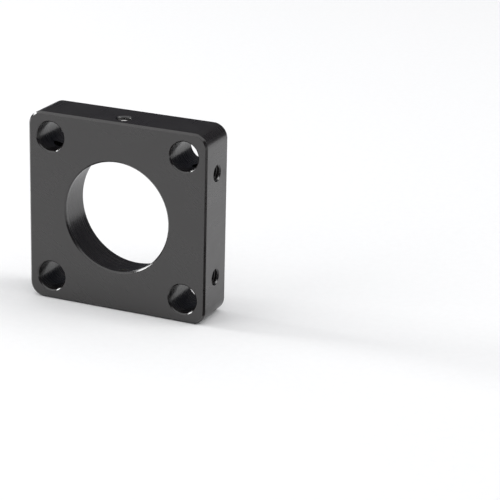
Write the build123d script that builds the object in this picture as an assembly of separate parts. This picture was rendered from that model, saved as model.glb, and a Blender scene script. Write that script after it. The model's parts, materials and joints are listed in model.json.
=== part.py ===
"""Cage-plate optic mount: a square black plate with a shouldered seat for a round optic, four rod
holes at its corners, and two nylon-tipped set screws that pinch the optic from above and below.

Frame: the plate stands on its bottom edge. +Z is up, X runs along the plate's width and Y through
its thickness, with the front face (the one with the shoulder) towards -Y. The origin is the middle
of the bottom edge. All lengths are in millimetres.
"""
import os
from math import cos, radians, tan

from build123d import *

# Plate
plate_width = 40.0
plate_height = 40.0
plate_thickness = 10.0
corner_radius = 3.0
edge_chamfer = 0.4

# Optic seat: bored from the back, with a thin shoulder left at the front
optic_diameter = 25.4
seat_clearance = 0.05
shoulder_thickness = 1.0
shoulder_width = 1.15
bore_chamfer = 0.3

# Rod holes, right through the plate
rod_diameter = 6.0
rod_clearance = 0.075
rod_spacing = 30.0
rod_hole_chamfer = 0.25

# Tapped holes, modelled at the thread's major diameter
thread_diameter = 3.0
mouth_chamfer = 0.28
drill_point_angle = 118.0

# Lock-screw holes in the two upright edges: each runs beside a rod hole and ends level with its axis
lock_hole_offset = 4.0

# Set screws
screw_hole_inset = 3.5
screw_clearance = 0.05
screw_recess = 0.7
screw_end_chamfer = 0.3
socket_across_flats = 1.5
socket_share_of_screw = 0.4
socket_lead_in = 0.1

# Nylon tips
tip_diameter = 2.3
tip_nose_length = 1.28
tip_end_chamfer = 0.15
tip_setback = 0.25
stem_diameter = 1.4
stem_share_of_screw = 0.24
stem_clearance = 0.05
tip_seat_gap = 0.02

# Values worked out from the sizes above
front_y = -plate_thickness / 2
back_y = plate_thickness / 2
bore_z = plate_height / 2
seat_radius = optic_diameter / 2 + seat_clearance
aperture_radius = seat_radius - shoulder_width
shoulder_y = front_y + shoulder_thickness
rod_hole_radius = rod_diameter / 2 + rod_clearance
thread_radius = thread_diameter / 2
lock_hole_level = rod_spacing / 2 - lock_hole_offset
lock_hole_depth = (plate_width - rod_spacing) / 2
screw_y = front_y + screw_hole_inset
screw_radius = thread_radius - screw_clearance
stem_hole_radius = stem_diameter / 2 + stem_clearance
tool_overrun = 1.0
upwards = (Align.CENTER, Align.CENTER, Align.MIN)
downwards = (Align.CENTER, Align.CENTER, Align.MAX)

# A set screw and its tip are drawn once, on the bore's axis, pointing straight up: heights are
# measured from that axis, and the bottom pair is the top pair turned over.
tip_end_height = seat_radius + tip_setback
tip_shoulder_height = tip_end_height + tip_nose_length
screw_inner_height = tip_shoulder_height + tip_seat_gap
screw_outer_height = plate_height / 2 - screw_recess
screw_length = screw_outer_height - screw_inner_height
socket_depth = screw_length * socket_share_of_screw
stem_length = screw_length * stem_share_of_screw


def y_cylinder(radius, y_start, y_end, x=0.0, z=bore_z):
    """A cylinder along Y between two depths."""
    length = y_end - y_start
    place = Pos(x, (y_start + y_end) / 2, z) * Rot(X=90)
    return place * Cylinder(radius, length)


def mouth_cone(radius, chamfer):
    """A countersink cutter at the origin: it opens towards +Z and ends a little above the surface."""
    height = chamfer + tool_overrun
    return Pos(Z=-chamfer) * Cone(radius, radius + height, height, align=upwards)


def through_hole(radius, chamfer, x, z):
    """A plain hole through the plate with both rims chamfered."""
    cutter = y_cylinder(radius, front_y - tool_overrun, back_y + tool_overrun, x, z)
    front_rim = Pos(x, front_y, z) * Rot(X=90) * mouth_cone(radius, chamfer)
    back_rim = Pos(x, back_y, z) * Rot(X=-90) * mouth_cone(radius, chamfer)
    return cutter + front_rim + back_rim


def rod_holes():
    """The four rod holes as one list of cutters."""
    half = rod_spacing / 2
    return [
        through_hole(rod_hole_radius, rod_hole_chamfer, side * half, bore_z + level * half)
        for side in (-1, 1)
        for level in (-1, 1)
    ]


def optic_bore():
    """The seat from the back, the smaller aperture through the shoulder, and both rims."""
    seat = y_cylinder(seat_radius, shoulder_y, back_y + tool_overrun)
    aperture = y_cylinder(aperture_radius, front_y - tool_overrun, shoulder_y + tool_overrun)
    front_rim = Pos(0, front_y, bore_z) * Rot(X=90) * mouth_cone(aperture_radius, bore_chamfer)
    back_rim = Pos(0, back_y, bore_z) * Rot(X=-90) * mouth_cone(seat_radius, bore_chamfer)
    return seat + aperture + front_rim + back_rim


def lock_hole():
    """A blind tapped hole at the origin, drilled down -Z, with a drill point and a chamfered mouth."""
    point_height = thread_radius / tan(radians(drill_point_angle / 2))
    body = Cylinder(thread_radius, lock_hole_depth, align=downwards)
    point = Rot(X=180) * Cone(thread_radius, 0, point_height, align=upwards)
    return body + Pos(Z=-lock_hole_depth) * point + mouth_cone(thread_radius, mouth_chamfer)


def lock_holes():
    """Two lock-screw holes in each upright edge, at mid thickness."""
    cutters = []
    for side in (-1, 1):
        for level in (-1, 1):
            place = Pos(side * plate_width / 2, 0, bore_z + level * lock_hole_level)
            cutters.append(place * Rot(Y=side * 90) * lock_hole())
    return cutters


def screw_hole():
    """A tapped hole straight up from the bore's axis, out through the top edge."""
    depth = plate_height / 2
    body = Cylinder(thread_radius, depth, align=upwards)
    outer_mouth = Pos(Z=depth) * mouth_cone(thread_radius, mouth_chamfer)
    return body + outer_mouth


def upright(shape):
    """Place a shape drawn on the bore's axis at the top of the plate."""
    return Pos(0, screw_y, bore_z) * shape


def inverted(shape):
    """Place a shape drawn on the bore's axis at the bottom of the plate, turned over."""
    return Pos(0, screw_y, bore_z) * Rot(Y=180) * shape


def make_plate():
    """The machined plate with all its holes."""
    outline = RectangleRounded(plate_width, plate_height, corner_radius)
    block = Pos(0, 0, bore_z) * Rot(X=90) * extrude(outline, plate_thickness / 2, both=True)
    rims = block.faces().sort_by(Axis.Y)
    block = chamfer(rims[0].edges() + rims[-1].edges(), edge_chamfer)
    cutters = [optic_bore(), upright(screw_hole()), inverted(screw_hole())]
    for cutter in cutters + rod_holes() + lock_holes():
        block = block - cutter
    return block


def make_set_screw():
    """A cup-ended set screw: hexagon socket at the outer end, hole for the tip's stem inside."""
    body = Cylinder(screw_radius, screw_length, align=upwards)
    body = chamfer(body.edges().filter_by(GeomType.CIRCLE), screw_end_chamfer)
    socket_radius = socket_across_flats / 2 / cos(radians(30))
    socket = extrude(RegularPolygon(socket_radius, 6), -socket_depth)
    lead_in = Cone(
        socket_radius - socket_lead_in, socket_radius + socket_lead_in, 2 * socket_lead_in
    )
    stem_hole = Cylinder(stem_hole_radius, stem_length + stem_clearance, align=upwards)
    body = body - Pos(Z=screw_length) * (socket + lead_in) - stem_hole
    return Pos(Z=screw_inner_height) * body


def make_nylon_tip():
    """The soft tip: a plain disc nose with a stem that sits in the set screw."""
    nose = Cylinder(tip_diameter / 2, tip_nose_length, align=upwards)
    nose = chamfer(nose.edges().filter_by(GeomType.CIRCLE).sort_by(Axis.Z)[0], tip_end_chamfer)
    stem = Pos(Z=tip_nose_length) * Cylinder(stem_diameter / 2, stem_length, align=upwards)
    return Pos(Z=tip_end_height) * (nose + stem)


os.makedirs("parts", exist_ok=True)
nodes = {
    "plate": make_plate(),
    "top_set_screw": upright(make_set_screw()),
    "top_nylon_tip": upright(make_nylon_tip()),
    "bottom_set_screw": inverted(make_set_screw()),
    "bottom_nylon_tip": inverted(make_nylon_tip()),
}
for name, solid in nodes.items():
    export_step(solid, f"parts/{name}.step")
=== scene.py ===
"""Looks of the cage-plate optic mount: black anodised plate, stainless set screws and nylon tips.

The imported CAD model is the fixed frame. The plate keeps its CAD mesh. This script adds the helical
threads of the tapped holes, threaded set screws and turned nylon tips, the materials, the floor,
the lights and the camera. Lengths are in metres, in the CAD model's own frame.
"""
import json
from math import ceil, cos, pi, radians, sin, tan

import bpy
from mathutils import Euler, Matrix, Vector


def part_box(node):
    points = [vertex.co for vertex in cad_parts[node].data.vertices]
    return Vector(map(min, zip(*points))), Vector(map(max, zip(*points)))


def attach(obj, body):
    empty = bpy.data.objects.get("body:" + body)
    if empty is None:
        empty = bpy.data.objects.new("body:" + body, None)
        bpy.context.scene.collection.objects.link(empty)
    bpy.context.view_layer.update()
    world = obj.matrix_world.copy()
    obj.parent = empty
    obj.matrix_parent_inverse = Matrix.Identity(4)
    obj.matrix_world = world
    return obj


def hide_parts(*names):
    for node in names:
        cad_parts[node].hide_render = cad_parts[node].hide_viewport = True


MM = 0.001

# The M3 coarse thread, on the set screws and in the tapped holes
PITCH = 0.5 * MM
FLANK_ANGLE = radians(30)
THREAD_DEPTH = 0.25 * MM
SCREW_CREST_FLAT = 0.08 * MM
HOLE_CREST_FLAT = 0.10 * MM

# A tapped hole's ridge: the corners of its section, how far it is sunk into the metal, the share of
# its height that it has at its ends, and the turns over which it grows from there
RIDGE_CORNERS = 4
RIDGE_ROOT_SINK = 0.05 * MM
RIDGE_END_SHARE = 0.02
FADE_TURNS = 0.75

# Set screw. The socket is a plain hexagon from HEX_START below the outer end, and takes SOCKET_SHARE of
# the length. The stem hole's end corner is broken from STEM_HOLE_CORNER_SHARE of its radius and depth.
HEX_ACROSS_FLATS = 1.5 * MM
HEX_CORNER_RADIUS = HEX_ACROSS_FLATS / 2 / cos(pi / 6)
HEX_START = 0.14 * MM
SOCKET_SHARE = 0.4
LEAD_IN = 0.1 * MM
END_CHAMFER = 0.3 * MM
STEM_HOLE_RADIUS = 0.75 * MM
STEM_HOLE_DEPTH = 1.25 * MM
STEM_HOLE_CORNER_SHARE = 0.97
DRILL_POINT_HEIGHT = 0.3 * MM
DRILL_POINT_RADIUS = 0.63 * MM
DRILL_TIP_RADIUS = 0.075 * MM

# Nylon tip. SEAT_GAP lies between its nose and the set screw, and TURNED_STEP is the depth of the rings
# that the lathe left on its face.
NOSE_ROUND = 0.18 * MM
NOSE_BACK_BREAK = 0.06 * MM
NOSE_RINGS = 8
STEM_RADIUS = 0.7 * MM
SEAT_GAP = 0.02 * MM
TURNED_STEP = 0.012 * MM

# How finely the round pieces are drawn; RING_STEP is the smallest step between two rings
STEPS_PER_TURN = 60
ROWS_PER_PITCH = 16
ROUND_STEPS = 6
RING_STEP = 0.02 * MM
SMOOTH_BELOW = radians(35)

# Plate: its edge chamfer, and the share of its half width inside which its edges hold tapped holes
EDGE_CHAMFER = 0.4 * MM
MID_EDGE_SHARE = 0.7

# Tapped holes: the chamfer of a mouth, how far from mid thickness a mouth can reach, how deep the
# lock holes' ridges go, and how far the screw holes' ridges stay from the bore
MOUTH_CHAMFER = 0.28 * MM
MOUTH_REACH = 4.0 * MM
LOCK_THREAD_DEPTH = 3.0 * MM
BORE_MARGIN = 0.3 * MM

# Margins of the plate's masks: past the edge chamfer, and below the flat of an edge
CHAMFER_MARGIN = 0.05 * MM
EDGE_MARGIN = 0.01 * MM

# How squarely a surface faces along Y: the broad faces' mask rises between the first two values, and
# a hole's wall is plain below the third and a chamfered rim above it
BROAD_FACE_FROM, BROAD_FACE_FULL = 0.85, 0.99
CHAMFER_FACING = 0.5

# The fly cutter swept the broad faces in arcs about a point this far from the bore's middle
FLY_CUT_CENTRE = Vector((-55 * MM, 0, -75 * MM))

# Widths of the plate's tool marks and scratches, and sizes of its grain, clouding and rubbed patches
FACE_MARK_WIDTH = 0.22 * MM
SIDE_MARK_WIDTH = 0.3 * MM
HOLE_MARK_WIDTH = 0.16 * MM
SCRATCH_WIDTH = 0.35 * MM
GRAIN_SIZE = 0.09 * MM
CLOUD_SIZE = 6 * MM
PATCH_SIZE = 0.8 * MM

# Directions of tool marks, as the noise's fineness along X, Y and Z
LINES_ALONG_Y = (1, 0.04, 1)
RINGS_ROUND_Y = (0.02, 1, 0.02)
SCRATCHES_ALONG_Z = (1, 0.05, 0.06)

# Fractal noise seldom leaves this range, which is mapped to a finish's two extremes
NOISE_RANGE = (0.3, 0.7)

# Narrower ranges of noise, for what covers only a part of a surface
SCRATCH_RANGE = (0.66, 0.72)
PATCH_RANGE = (0.42, 0.62)
STAIN_RANGE = (0.35, 0.7)

# How much of the grain shows in the plate's colour, and of the tool marks in its roughness
GRAIN_SHARE = 0.35
MARKS_SHARE = 0.5

# An edge is rubbed where the softened normal leans away: the cosine of the lean, from none to full
RUB_RANGE = (0.995, 0.90)

# Roughness of the plate's surfaces, and what a scratch adds to it
MILLED_ROUGHNESS = (0.24, 0.36)
REAMED_ROUGHNESS = (0.22, 0.32)
TURNED_ROUGHNESS = (0.20, 0.32)
RIM_ROUGHNESS = 0.19
MOUTH_ROUGHNESS = 0.26
SCRATCH_ROUGHNESS = 0.05

# Colours of the plate's finish, of the painted shade in its mouths, and of the metal that shows at
# rubbed edges
ANODISED_DARK = (0.0080, 0.0064, 0.0062)
ANODISED_LIGHT = (0.0122, 0.0101, 0.0099)
MOUTH_PAINTED_SHADE = (0.003, 0.0025, 0.0025)
RUBBED_METAL = (0.16, 0.158, 0.155)
RUBBED_STRENGTH = 0.3

# Depths of the relief on machined surfaces, and how wide the broken edges look
GRAIN_DEPTH = 0.0016 * MM
MARK_DEPTH = 0.003 * MM
THREAD_MARK_DEPTH = 0.004 * MM
NYLON_MARK_DEPTH = 0.004 * MM
FIBRE_DEPTH = 0.005 * MM
BROKEN_EDGE = 0.09 * MM

# Painted shade: the steel's colour darkens where surfaces within this reach shut it in: the open share,
# from none to full
PAINTED_SHADE_REACH = 0.7 * MM
PAINTED_SHADE_RANGE = (0.75, 0.3)
PAINTED_SHADE_COLOUR = (0.16, 0.14, 0.13)

# Samples of the Bevel and Ambient Occlusion nodes
NODE_SAMPLES = 8

# Sockets of a Mix node that blends colours
MIX_FIRST_COLOUR, MIX_SECOND_COLOUR, MIX_COLOUR_RESULT = 6, 7, 2

# Studio
FLOOR_REACH = 12.0
LIGHT_AIM = (0, 0, 0.02)
WORLD_COLOUR = (0.055, 0.058, 0.070, 1)

# Softboxes: name, place, width, height and radiance. The left strip makes the glints on the rims.
SOFTBOXES = (
    ("overhead", (0.0, 0.0, 1.1), 2.4, 2.0, 1.12),
    ("right_high", (1.15, 0.3, 1.0), 0.8, 0.8, 4.0),
    ("front_left", (-0.9, -1.0, 0.6), 1.2, 1.0, 1.6),
    ("left_strip", (-0.92, -0.07, 0.41), 0.30, 0.34, 14.0),
)

# The black card: a trapezoid that opens away from the plate's lower right corner
CARD_HEADING = radians(-24.3)
CARD_NEAR, CARD_FAR = 1.5 * MM, 150 * MM
CARD_NEAR_HALF, CARD_FAR_HALF = 4 * MM, 32 * MM
CARD_LIFT = 0.3 * MM

# Camera: lens and sensor in millimetres, place in metres, angles in degrees
CAMERA_LENS = 146.435
CAMERA_SENSOR = 36.0
CAMERA_CLIP_START = 0.01
CAMERA_PLACE = (0.17904, -0.35153, 0.15214)
CAMERA_HEADING = 23.32
CAMERA_TILT = 19.57
CAMERA_ROLL = 1.42


# ---------------------------------------------------------------------------------------------
# Meshes
# ---------------------------------------------------------------------------------------------

def new_piece(name, points, faces, placement, material):
    """A mesh object, placed in the frame and shaded smooth except at its sharp edges."""
    mesh = bpy.data.meshes.new(name)
    mesh.from_pydata(points, [], faces)
    mesh.materials.append(material)
    mesh.transform(placement)
    mesh.validate()
    mesh.shade_smooth()
    mesh.set_sharp_from_angle(angle=SMOOTH_BELOW)
    piece = bpy.data.objects.new(name, mesh)
    bpy.context.scene.collection.objects.link(piece)
    return piece


def closed_rings(rings):
    """Points and faces of a closed skin over rings of equal count, with a middle point at each end.

    The skin faces outward where the rings climb along its outside.
    """
    count = len(rings[0])
    points = [point for ring in rings for point in ring]
    faces = []
    for row in range(len(rings) - 1):
        for step in range(count):
            near, far = row * count + step, row * count + (step + 1) % count
            faces.append((near, far, far + count, near + count))
    for row, flip in ((0, True), (len(rings) - 1, False)):
        ring = rings[row]
        middle = len(points)
        points.append((0.0, 0.0, sum(point[2] for point in ring) / count))
        for step in range(count):
            near, far = row * count + step, row * count + (step + 1) % count
            faces.append((far, near, middle) if flip else (near, far, middle))
    return points, faces


def round_ring(radius, height):
    """A ring of points at one height; radius is a number or a function of the angle."""
    ring = []
    for step in range(STEPS_PER_TURN):
        angle = 2 * pi * step / STEPS_PER_TURN
        reach = radius(angle) if callable(radius) else radius
        ring.append((reach * cos(angle), reach * sin(angle), height))
    return ring


def hexagon(across_flats):
    """The reach of a hexagon's edge as a function of the angle."""
    def reach(angle):
        return across_flats / 2 / cos((angle + pi / 6) % (pi / 3) - pi / 6)
    return reach


def screw_profile(phase):
    """The outside thread's height at a phase of its pitch, from 0 at the root to 1 on the crest."""
    away = abs((phase + 0.5) % 1.0 - 0.5) * PITCH
    rise = (away - SCREW_CREST_FLAT / 2) / (THREAD_DEPTH * tan(FLANK_ANGLE))
    return 1.0 - min(max(rise, 0.0), 1.0)


def screw_mesh(length, major_radius, crest_height):
    """A set screw from its inner end at height 0; a thread crest passes crest_height at angle 0.

    The rings run from the stem hole's end round the outside to the socket's drill point.
    """
    root_radius = major_radius - THREAD_DEPTH

    def flank(height):
        """The threaded outline at one height, cut down by the chamfered ends."""
        end_room = min(height, length - height)
        limit = major_radius - END_CHAMFER + end_room

        def reach(angle):
            phase = (height - crest_height) / PITCH - angle / (2 * pi)
            return min(root_radius + THREAD_DEPTH * screw_profile(phase), limit)
        return reach

    inner_face = major_radius - END_CHAMFER
    hex_reach = hexagon(HEX_ACROSS_FLATS)

    def lead_in_foot(angle):
        """The outline where the round lead-in meets the hexagon."""
        return max(hex_reach(angle), HEX_CORNER_RADIUS - RING_STEP)

    socket_floor = length * (1 - SOCKET_SHARE)
    rows = ceil(length / PITCH * ROWS_PER_PITCH)
    rings = [
        round_ring(STEM_HOLE_RADIUS * STEM_HOLE_CORNER_SHARE, STEM_HOLE_DEPTH),
        round_ring(STEM_HOLE_RADIUS, STEM_HOLE_DEPTH * STEM_HOLE_CORNER_SHARE),
        round_ring(STEM_HOLE_RADIUS, LEAD_IN),
        round_ring(STEM_HOLE_RADIUS + LEAD_IN, 0.0),
        round_ring(inner_face, 0.0),
    ]
    for row in range(1, rows):
        height = length * row / rows
        rings.append(round_ring(flank(height), height))
    rings += [
        round_ring(inner_face, length),
        round_ring(HEX_CORNER_RADIUS + LEAD_IN, length),
        round_ring(lead_in_foot, length - LEAD_IN),
        round_ring(hex_reach, length - HEX_START),
        round_ring(hex_reach, socket_floor),
        round_ring(DRILL_POINT_RADIUS, socket_floor - RING_STEP),
        round_ring(DRILL_TIP_RADIUS, socket_floor - DRILL_POINT_HEIGHT),
    ]
    return closed_rings(rings)


def tip_mesh(nose_radius, nose_length, stem_length):
    """A turned nylon tip from its nose at height 0: rounded nose, faint tool rings and a stem."""
    rings = []
    for ring in range(NOSE_RINGS):
        reach = (nose_radius - NOSE_ROUND) * (ring + 1) / (NOSE_RINGS + 1)
        rings.append(round_ring(reach, TURNED_STEP * (ring % 2)))
    for step in range(ROUND_STEPS + 1):
        turn = pi / 2 * step / ROUND_STEPS
        reach = nose_radius - NOSE_ROUND + NOSE_ROUND * sin(turn)
        rings.append(round_ring(reach, NOSE_ROUND * (1 - cos(turn))))
    rings += [
        round_ring(nose_radius, nose_length - NOSE_BACK_BREAK),
        round_ring(nose_radius - NOSE_BACK_BREAK, nose_length),
        round_ring(STEM_RADIUS, nose_length),
        round_ring(STEM_RADIUS, nose_length + stem_length - NOSE_ROUND),
        round_ring(STEM_RADIUS - NOSE_ROUND, nose_length + stem_length),
    ]
    return closed_rings(rings)


def ridge_mesh(hole_radius, low, high):
    """The helical ridge of a tapped hole between two heights; its crest passes height 0 at angle 0."""
    crest_reach = hole_radius - THREAD_DEPTH
    root_reach = hole_radius + RIDGE_ROOT_SINK
    turns = (high - low) / PITCH
    stations = ceil(turns * STEPS_PER_TURN)
    first_turn = low / PITCH
    points, faces = [], []
    for station in range(stations + 1):
        turn = turns * station / stations
        angle = 2 * pi * (first_turn + turn)
        fade = min(1.0, turn / FADE_TURNS, (turns - turn) / FADE_TURNS)
        reach = root_reach + (crest_reach - root_reach) * max(fade, RIDGE_END_SHARE)
        middle = low + turn * PITCH
        crest_half = HOLE_CREST_FLAT / 2
        root_half = crest_half + (root_reach - reach) * tan(FLANK_ANGLE)
        section = (
            (root_reach, -root_half),
            (reach, -crest_half),
            (reach, crest_half),
            (root_reach, root_half),
        )
        for distance, offset in section:
            points.append((distance * cos(angle), distance * sin(angle), middle + offset))
    for station in range(stations):
        base = station * RIDGE_CORNERS
        for corner in range(RIDGE_CORNERS):
            near, far = base + corner, base + (corner + 1) % RIDGE_CORNERS
            faces.append((near, far, far + RIDGE_CORNERS, near + RIDGE_CORNERS))
    faces.append((0, 3, 2, 1))
    last = stations * RIDGE_CORNERS
    faces.append((last, last + 1, last + 2, last + 3))
    return points, faces


# ---------------------------------------------------------------------------------------------
# Materials
# ---------------------------------------------------------------------------------------------

class Material:
    """A node material: nodes are added in one line, and an input may be a value or another output."""

    def __init__(self, name, **settings):
        self.material = bpy.data.materials.new(name)
        self.material.use_nodes = True
        self.tree = self.material.node_tree
        self.shader = self.tree.nodes["Principled BSDF"]
        for socket, value in settings.items():
            self.shader.inputs[socket.replace("_", " ")].default_value = value
        self.position = self.add("ShaderNodeTexCoord").outputs["Object"]

    def add(self, kind, inputs=None, **properties):
        """A new node with its properties and inputs set."""
        node = self.tree.nodes.new(kind)
        for key, value in properties.items():
            setattr(node, key, value)
        for key, value in (inputs or {}).items():
            if isinstance(value, bpy.types.NodeSocket):
                self.tree.links.new(value, node.inputs[key])
            else:
                node.inputs[key].default_value = value
        return node

    def math(self, operation, first, second=0.0, clamp=False):
        """One arithmetic step."""
        inputs = {0: first, 1: second}
        return self.add("ShaderNodeMath", inputs, operation=operation, use_clamp=clamp).outputs[0]

    def vector(self, operation, first, second):
        """One vector step."""
        return self.add("ShaderNodeVectorMath", {0: first, 1: second}, operation=operation).outputs[0]

    def size_along(self, vector, axis):
        """The size of a vector's part along an axis, without its sign."""
        part = self.add("ShaderNodeSeparateXYZ", {0: vector}).outputs[axis]
        return self.math("ABSOLUTE", part)

    def distance(self, vector):
        """How far a point is from the Y axis of its own vector."""
        flat = self.vector("MULTIPLY", vector, (1, 0, 1))
        return self.add("ShaderNodeVectorMath", {0: flat}, operation="LENGTH").outputs["Value"]

    def ramp(self, value, low, high, to_low=0.0, to_high=1.0):
        """The value mapped smoothly from one range to another."""
        inputs = {
            "Value": value,
            "From Min": low,
            "From Max": high,
            "To Min": to_low,
            "To Max": to_high,
        }
        return self.add("ShaderNodeMapRange", inputs, interpolation_type="SMOOTHSTEP").outputs[0]

    def noise(self, feature, vector=None, detail=3.0, stretch=None):
        """Fractal noise whose largest features have about one size, in metres."""
        vector = vector or self.position
        if stretch:
            inputs = {"Vector": vector, "Scale": stretch}
            vector = self.add("ShaderNodeMapping", inputs, vector_type="POINT").outputs[0]
        inputs = {"Vector": vector, "Scale": 1 / feature, "Detail": detail}
        return self.add("ShaderNodeTexNoise", inputs).outputs["Fac"]

    def colour(self, amount, low, high):
        """A blend of two colours."""
        ramp = self.add("ShaderNodeValToRGB", {"Fac": amount})
        ramp.color_ramp.elements[0].color = (*low, 1)
        ramp.color_ramp.elements[1].color = (*high, 1)
        return ramp.outputs["Color"]

    def mix(self, amount, first, second):
        """A blend of two values."""
        inputs = {"Factor": amount, "A": first, "B": second}
        return self.add("ShaderNodeMix", inputs).outputs["Result"]

    def blend(self, amount, colour, second):
        """A colour output blended towards a fixed colour."""
        mixer = self.add("ShaderNodeMix", {"Factor": amount}, data_type="RGBA")
        self.tree.links.new(colour, mixer.inputs[MIX_FIRST_COLOUR])
        mixer.inputs[MIX_SECOND_COLOUR].default_value = (*second, 1)
        return mixer.outputs[MIX_COLOUR_RESULT]

    def bump(self, height, depth, normal=None):
        """Surface relief of a real depth in metres."""
        inputs = {"Height": height, "Distance": depth, "Strength": 1.0}
        if normal:
            inputs["Normal"] = normal
        return self.add("ShaderNodeBump", inputs).outputs["Normal"]

    def use(self, **outputs):
        """Joins outputs to the shader's inputs."""
        for socket, value in outputs.items():
            self.tree.links.new(value, self.shader.inputs[socket.replace("_", " ")])
        return self.material


def plate_masks(made, from_bore, bore_radius, half_width):
    """Masks of the plate's broad faces, hole walls, bore wall, hole rims and tapped holes' mouths."""
    facing = made.add("ShaderNodeTexCoord").outputs["Normal"]
    face_on = made.size_along(facing, "Y")
    across = made.size_along(from_bore, "X")
    upward = made.size_along(from_bore, "Z")
    outermost = made.math("MAXIMUM", across, upward)
    innermost = made.math("MINIMUM", across, upward)

    broad_face = made.ramp(face_on, BROAD_FACE_FROM, BROAD_FACE_FULL)
    in_hole = made.math("LESS_THAN", outermost, half_width - EDGE_CHAMFER - CHAMFER_MARGIN)
    in_hole = made.math("MULTIPLY", in_hole, made.math("SUBTRACT", 1.0, broad_face))
    in_bore = made.math("LESS_THAN", made.distance(from_bore), bore_radius + MOUTH_CHAMFER)
    rim = made.math("MULTIPLY", in_hole, made.math("GREATER_THAN", face_on, CHAMFER_FACING))

    # A mouth lies just below an edge's flat, near mid thickness and away from the plate's corners
    below_edge = made.math("LESS_THAN", outermost, half_width - EDGE_MARGIN)
    mid_thickness = made.math("LESS_THAN", made.size_along(from_bore, "Y"), MOUTH_REACH)
    mid_edge = made.math("LESS_THAN", innermost, half_width * MID_EDGE_SHARE)
    mouth = made.math("SUBTRACT", made.math("MULTIPLY", below_edge, mid_edge), in_hole)
    mouth = made.math("MULTIPLY", mid_thickness, mouth, clamp=True)
    return broad_face, in_hole, in_bore, rim, mouth


def rubbed_edges(made, softened):
    """Broken patches along the plate's edges, where the softened normal leaves the plain one."""
    plain = made.add("ShaderNodeNewGeometry").outputs["Normal"]
    lean = made.add("ShaderNodeVectorMath", {0: softened, 1: plain}, operation="DOT_PRODUCT")
    edge = made.ramp(lean.outputs["Value"], *RUB_RANGE)
    patches = made.ramp(made.noise(PATCH_SIZE, detail=4), *PATCH_RANGE)
    rubbed = made.math("MULTIPLY", edge, patches)
    return made.math("MULTIPLY", rubbed, RUBBED_STRENGTH)


def black_anodised(bore_middle, bore_radius, half_width):
    """Satin black anodised aluminium: fly-cut faces, milled edges, turned bore and reamed holes."""
    made = Material("black_anodised", IOR=1.72)
    from_bore = made.vector("SUBTRACT", made.position, bore_middle)
    masks = plate_masks(made, from_bore, bore_radius, half_width)
    broad_face, in_hole, in_bore, rim, mouth = masks

    sweep = made.distance(made.vector("SUBTRACT", made.position, bore_middle + FLY_CUT_CENTRE))
    along_sweep = made.add("ShaderNodeCombineXYZ", {"X": sweep}).outputs[0]
    face_marks = made.noise(FACE_MARK_WIDTH, along_sweep, detail=4)
    side_marks = made.noise(SIDE_MARK_WIDTH, stretch=LINES_ALONG_Y)
    hole_marks = made.noise(HOLE_MARK_WIDTH, stretch=RINGS_ROUND_Y, detail=4)
    marks = made.mix(broad_face, made.mix(in_hole, side_marks, hole_marks), face_marks)

    grain = made.noise(GRAIN_SIZE, detail=2)
    cloud = made.noise(CLOUD_SIZE, detail=3)
    scratches = made.noise(SCRATCH_WIDTH, stretch=SCRATCHES_ALONG_Z, detail=5)
    scratches = made.ramp(scratches, *SCRATCH_RANGE)
    bevel = made.add("ShaderNodeBevel", {"Radius": BROKEN_EDGE}, samples=NODE_SAMPLES)
    softened = bevel.outputs["Normal"]

    base = made.colour(made.mix(GRAIN_SHARE, cloud, grain), ANODISED_DARK, ANODISED_LIGHT)
    # Painted shade: the mouths of the tapped holes are darkened in colour
    base = made.blend(mouth, base, MOUTH_PAINTED_SHADE)
    base = made.blend(rubbed_edges(made, softened), base, RUBBED_METAL)

    milled = made.ramp(made.mix(MARKS_SHARE, cloud, face_marks), *NOISE_RANGE, *MILLED_ROUGHNESS)
    reamed = made.ramp(hole_marks, *NOISE_RANGE, *REAMED_ROUGHNESS)
    turned = made.ramp(hole_marks, *NOISE_RANGE, *TURNED_ROUGHNESS)
    rough = made.mix(in_hole, milled, made.mix(in_bore, reamed, turned))
    rough = made.mix(rim, rough, RIM_ROUGHNESS)
    rough = made.math("ADD", rough, made.math("MULTIPLY", scratches, SCRATCH_ROUGHNESS))
    rough = made.mix(mouth, rough, MOUTH_ROUGHNESS)

    relief = made.bump(grain, GRAIN_DEPTH, normal=softened)
    relief = made.bump(marks, MARK_DEPTH, normal=relief)
    return made.use(Base_Color=base, Roughness=rough, Normal=relief)


def tapped_anodised():
    """The same black finish on the cut threads, with the tap's fine marks."""
    made = Material("tapped_anodised", IOR=1.6)
    tool = made.noise(0.12 * MM, detail=4)
    base = made.colour(made.noise(0.6 * MM), (0.006, 0.005, 0.005), (0.014, 0.012, 0.012))
    rough = made.ramp(tool, *NOISE_RANGE, 0.24, 0.38)
    return made.use(Base_Color=base, Roughness=rough, Normal=made.bump(tool, THREAD_MARK_DEPTH))


def screw_steel():
    """Bright stainless steel with turned marks, with painted shade that darkens its colour in its
    hollows.
    """
    made = Material("screw_steel", Metallic=1.0)
    turned = made.noise(0.07 * MM, detail=4)
    stain = made.ramp(made.noise(0.5 * MM, detail=4), *STAIN_RANGE)
    base = made.colour(stain, (0.80, 0.79, 0.77), (0.95, 0.94, 0.92))
    # Painted shade: ambient occlusion darkens the steel's colour in the socket and between the threads
    shade = made.add("ShaderNodeAmbientOcclusion", {"Distance": PAINTED_SHADE_REACH}, samples=NODE_SAMPLES)
    base = made.blend(made.ramp(shade.outputs["AO"], *PAINTED_SHADE_RANGE), base, PAINTED_SHADE_COLOUR)
    rough = made.ramp(turned, *NOISE_RANGE, 0.34, 0.50)
    return made.use(Base_Color=base, Roughness=rough, Normal=made.bump(turned, MARK_DEPTH))


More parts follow.
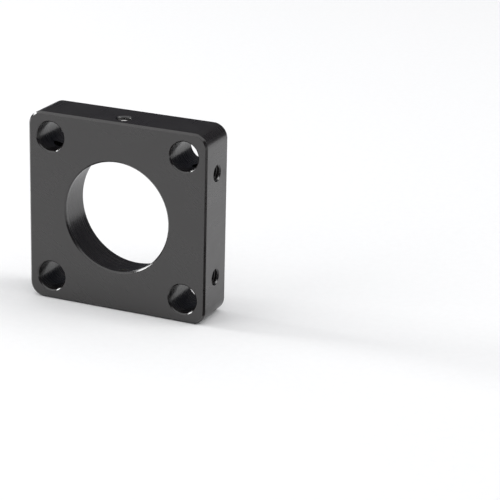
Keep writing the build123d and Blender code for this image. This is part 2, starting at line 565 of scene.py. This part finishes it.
def nylon():
    """Off-white turned nylon, slightly translucent."""
    made = Material("nylon", IOR=1.53, Subsurface_Weight=0.35, Subsurface_Scale=0.4 * MM)
    cloud = made.noise(0.5 * MM, detail=4)
    base = made.colour(cloud, (0.74, 0.71, 0.63), (0.86, 0.84, 0.78))
    rough = made.ramp(cloud, *NOISE_RANGE, 0.42, 0.58)
    relief = made.bump(made.noise(0.06 * MM), NYLON_MARK_DEPTH)
    return made.use(Base_Color=base, Roughness=rough, Normal=relief)


def pale_floor():
    """Matte near-white studio paper."""
    made = Material("pale_floor", Roughness=0.9, Specular_IOR_Level=0.15)
    fibre = made.noise(1.5 * MM, detail=5)
    base = made.colour(fibre, (0.88, 0.88, 0.88), (0.92, 0.92, 0.92))
    return made.use(Base_Color=base, Normal=made.bump(fibre, FIBRE_DEPTH))


def black_paper():
    """Matte black card."""
    made = Material("black_paper", Roughness=1.0, Specular_IOR_Level=0.0)
    fibre = made.noise(1.5 * MM, detail=4)
    return made.use(Base_Color=made.colour(fibre, (0.01, 0.01, 0.01), (0.02, 0.02, 0.02)))


# ---------------------------------------------------------------------------------------------
# Pieces
# ---------------------------------------------------------------------------------------------

def outward_placement(origin, outward):
    """A placement that turns a shape's +Z towards outward and puts its own origin at a point."""
    up = Vector((0, 0, 1))
    if outward == -up:
        # The shortest turn to straight down isn't unique, so it is a half turn about Y
        turn = Euler((0, pi, 0)).to_quaternion()
    else:
        turn = up.rotation_difference(outward)
    return Matrix.Translation(origin) @ turn.to_matrix().to_4x4()


def add_screw_pair(side, outward, bore_middle, plate_box, mounts, materials):
    """The thread, set screw and nylon tip on one side of the bore, drawn from the bore's axis out."""
    screw_low, screw_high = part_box(f"{side}_set_screw")
    tip_low, tip_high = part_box(f"{side}_nylon_tip")
    axis_point = Vector((
        (screw_low.x + screw_high.x) / 2,
        (screw_low.y + screw_high.y) / 2,
        bore_middle.z,
    ))
    placement = outward_placement(axis_point, outward)

    def heights(low, high):
        """Distances of a box's two ends from the bore's axis."""
        return sorted(abs(end - bore_middle.z) for end in (low.z, high.z))

    screw_start, screw_end = heights(screw_low, screw_high)
    tip_start, tip_end = heights(tip_low, tip_high)
    # The set screws' holes have the same thread as the lock-screw holes
    hole_radius = mounts["lock_hole_upper_right"]["dims"]["r_mm"] * MM
    seat_radius = mounts["optic_seat"]["dims"]["r_mm"] * MM
    edge_height = plate_box[1].z - bore_middle.z

    points, faces = ridge_mesh(hole_radius, seat_radius + BORE_MARGIN, edge_height - MOUTH_CHAMFER)
    ridge = new_piece(f"{side}_screw_thread", points, faces, placement, materials["tapped"])
    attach(ridge, "plate")

    length = screw_end - screw_start
    major_radius = (screw_high.x - screw_low.x) / 2
    crest_height = PITCH / 2 - screw_start % PITCH
    points, faces = screw_mesh(length, major_radius, crest_height)
    lift = placement @ Matrix.Translation((0, 0, screw_start))
    screw = new_piece(f"{side}_threaded_set_screw", points, faces, lift, materials["steel"])
    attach(screw, f"{side}_screw")
    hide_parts(f"{side}_set_screw")

    nose_length = screw_start - tip_start - SEAT_GAP
    stem_length = tip_end - tip_start - nose_length
    points, faces = tip_mesh((tip_high.x - tip_low.x) / 2, nose_length, stem_length)
    lift = placement @ Matrix.Translation((0, 0, tip_start))
    tip = new_piece(f"{side}_turned_nylon_tip", points, faces, lift, materials["nylon"])
    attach(tip, f"{side}_tip")
    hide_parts(f"{side}_nylon_tip")


def add_lock_threads(plate_box, mounts, material):
    """The thread ridges of the blind lock-screw holes in the upright edges."""
    for name, mount in mounts.items():
        if not name.startswith("lock_hole"):
            continue
        outward = Vector(mount["axis"])
        mouth = Vector(mount["pos_m"])
        mouth.x = plate_box[1].x if outward.x > 0 else plate_box[0].x
        placement = outward_placement(mouth, outward)
        hole_radius = mount["dims"]["r_mm"] * MM
        points, faces = ridge_mesh(hole_radius, -LOCK_THREAD_DEPTH, -MOUTH_CHAMFER)
        ridge = new_piece(name.replace("hole", "thread"), points, faces, placement, material)
        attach(ridge, "plate")


# ---------------------------------------------------------------------------------------------
# Studio
# ---------------------------------------------------------------------------------------------

def flat_sheet(name, corners, material):
    """A flat four-cornered sheet."""
    mesh = bpy.data.meshes.new(name)
    mesh.from_pydata(corners, [], [(0, 1, 2, 3)])
    mesh.materials.append(material)
    sheet = bpy.data.objects.new(name, mesh)
    bpy.context.scene.collection.objects.link(sheet)
    return sheet


def add_floor(height):
    """A wide pale floor under the object."""
    directions = ((-1, -1), (1, -1), (1, 1), (-1, 1))
    corners = [(x * FLOOR_REACH, y * FLOOR_REACH, height) for x, y in directions]
    floor = flat_sheet("floor", corners, pale_floor())


def add_black_card(plate_box):
    """A black card just above the floor at the front right, which keeps the chamfers facing it dark.

    It shows only in reflections.
    """
    low, high = plate_box
    start = Vector((high.x, low.y, low.z + CARD_LIFT))
    along = Vector((cos(CARD_HEADING), sin(CARD_HEADING), 0))
    across = Vector((-sin(CARD_HEADING), cos(CARD_HEADING), 0))
    near = start + along * CARD_NEAR
    far = start + along * CARD_FAR
    corners = [
        near - across * CARD_NEAR_HALF,
        far - across * CARD_FAR_HALF,
        far + across * CARD_FAR_HALF,
        near + across * CARD_NEAR_HALF,
    ]
    card = flat_sheet("black_card", corners, black_paper())
    card.visible_camera = False
    card.visible_diffuse = False
    card.visible_shadow = False


def add_softbox(name, place, width, height, radiance):
    """A rectangular area light that faces the object."""
    light = bpy.data.lights.new(name, "AREA")
    light.shape = "RECTANGLE"
    light.size = width
    light.size_y = height
    # An area light's power is its radiance times pi times its area
    light.energy = radiance * pi * width * height
    lamp = bpy.data.objects.new(name, light)
    lamp.location = place
    lamp.rotation_euler = (Vector(LIGHT_AIM) - Vector(place)).to_track_quat("-Z", "Y").to_euler()
    bpy.context.scene.collection.objects.link(lamp)


def add_camera():
    """The photograph's viewpoint: a long lens, a little above and to the right of the front face."""
    heading = Matrix.Rotation(radians(CAMERA_HEADING), 3, "Z")
    pitch = Matrix.Rotation(radians(90 - CAMERA_TILT), 3, "X")
    roll = Matrix.Rotation(radians(CAMERA_ROLL), 3, "Z")
    data = bpy.data.cameras.new("camera")
    data.lens = CAMERA_LENS
    data.sensor_width = CAMERA_SENSOR
    data.clip_start = CAMERA_CLIP_START
    camera = bpy.data.objects.new("camera", data)
    camera.location = CAMERA_PLACE
    camera.rotation_euler = (heading @ pitch @ roll).to_euler()
    bpy.context.scene.collection.objects.link(camera)
    bpy.context.scene.camera = camera


def set_world():
    """Dim bluish surroundings, and colours shown as they are."""
    world = bpy.data.worlds.new("studio")
    world.use_nodes = True
    world.node_tree.nodes["Background"].inputs["Color"].default_value = WORLD_COLOUR
    bpy.context.scene.world = world
    bpy.context.scene.view_settings.view_transform = "Standard"


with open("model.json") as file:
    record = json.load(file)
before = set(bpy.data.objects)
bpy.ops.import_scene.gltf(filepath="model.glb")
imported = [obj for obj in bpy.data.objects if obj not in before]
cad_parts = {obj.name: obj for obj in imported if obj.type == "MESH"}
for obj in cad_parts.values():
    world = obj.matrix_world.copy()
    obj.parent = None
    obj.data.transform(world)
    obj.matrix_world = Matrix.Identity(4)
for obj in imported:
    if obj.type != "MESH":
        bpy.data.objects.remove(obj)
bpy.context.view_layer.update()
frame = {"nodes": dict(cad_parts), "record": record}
mounts = {mount["name"]: mount for mount in frame["record"]["mounts"]}
plate_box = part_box("plate")
bore_middle = Vector(mounts["optic_seat"]["pos_m"])
bore_radius = mounts["optic_seat"]["dims"]["r_mm"] * MM

finish = black_anodised(bore_middle, bore_radius, half_width=plate_box[1].x)
for material_slot in frame["nodes"]["plate"].material_slots:
    material_slot.material = finish

materials = {"tapped": tapped_anodised(), "steel": screw_steel(), "nylon": nylon()}
add_screw_pair("top", Vector((0, 0, 1)), bore_middle, plate_box, mounts, materials)
add_screw_pair("bottom", Vector((0, 0, -1)), bore_middle, plate_box, mounts, materials)
add_lock_threads(plate_box, mounts, materials["tapped"])

add_floor(plate_box[0].z)
for name, place, width, height, radiance in SOFTBOXES:
    add_softbox(name, place, width, height, radiance)
add_black_card(plate_box)
set_world()
add_camera()
